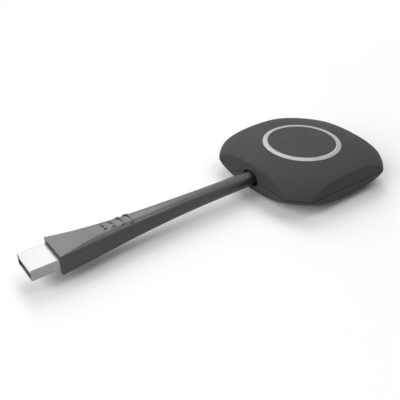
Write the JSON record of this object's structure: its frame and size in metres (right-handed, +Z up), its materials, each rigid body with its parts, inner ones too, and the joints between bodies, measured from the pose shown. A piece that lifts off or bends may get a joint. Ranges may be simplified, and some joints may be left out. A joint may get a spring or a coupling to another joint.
{
  "type": "wireless presentation dongle",
  "caption": "Matte black round-cornered puck with a large ringed push button, and a straight tapering moulded lead arm that ends in a USB-A plug.",
  "frame": {"origin": "centre of the round rubber foot's flat face, on the table, under the button's axis", "axes": "+Z up through the button; the lead arm leaves the case along -X; +Y is the case's left side seen from the plug"},
  "size_m": [0.1576, 0.0584, 0.0173],
  "materials": {
    "case_black": "matte, fine texture",
    "button_black": "matte",
    "ring_satin": "satin, light-diffusing",
    "arm_rubber": "satin moulded rubber",
    "foot_rubber": "matte",
    "plug_steel": "satin nickel",
    "screw_steel": "dark zinc",
    "insulator_white": "satin",
    "insulator_black": "satin",
    "contact_gold": "gilt",
    "core_plastic": "moulded",
    "jacket_plastic": "matte",
    "braid_metal": "tinned strands",
    "wire_skin": "smooth, one colour for each wire",
    "board_laminate": "solder mask",
    "chip_resin": "moulded",
    "shield_metal": "tinned",
    "ceramic": "fired",
    "coil_resin": "moulded",
    "emitter_lens": "clear yellow resin",
    "thermal_gel": "soft",
    "spreader_metal": "milled",
    "carrier_plastic": "moulded"
  },
  "bodies": {
    "case": {"top_cover": "case_black", "bottom_cover": "case_black", "foot_pad": "foot_rubber", "light_ring": "ring_satin", "button_carrier": "carrier_plastic", "carrier_screws": "screw_steel", "light_board": "board_laminate", "light_emitters": "emitter_lens", "board_link": "insulator_black", "link_pins": "contact_gold", "case_screws": "screw_steel", "main_board": "board_laminate", "switch_body": "insulator_black", "switch_frame": "shield_metal", "processor": "chip_resin", "thermal_pad": "thermal_gel", "heat_spreader": "spreader_metal", "memory_chips": "chip_resin", "radio_board": "board_laminate", "radio_shield": "shield_metal", "antennas": "ceramic", "power_chips": "chip_resin", "inductors": "coil_resin", "crystal": "shield_metal", "capacitors": "ceramic", "board_socket": "insulator_white", "board_plug": "insulator_white", "lead_conductors": "wire_skin", "lead_jacket": "jacket_plastic", "lead_braid": "braid_metal", "plug_shell": "plug_steel", "plug_tongue": "insulator_white", "plug_contacts": "contact_gold", "plug_core": "core_plastic", "lead_overmould": "arm_rubber"},
    "button": {"button_cap": "button_black", "switch_stem": "insulator_white"}
  },
  "joints": [
    {"name": "button_press", "type": "slide", "parent": "case", "child": "button", "axis": [0, 0, -1], "range_m": [0, 0.0004], "stiffness_N_per_m": 2500}
  ]
}
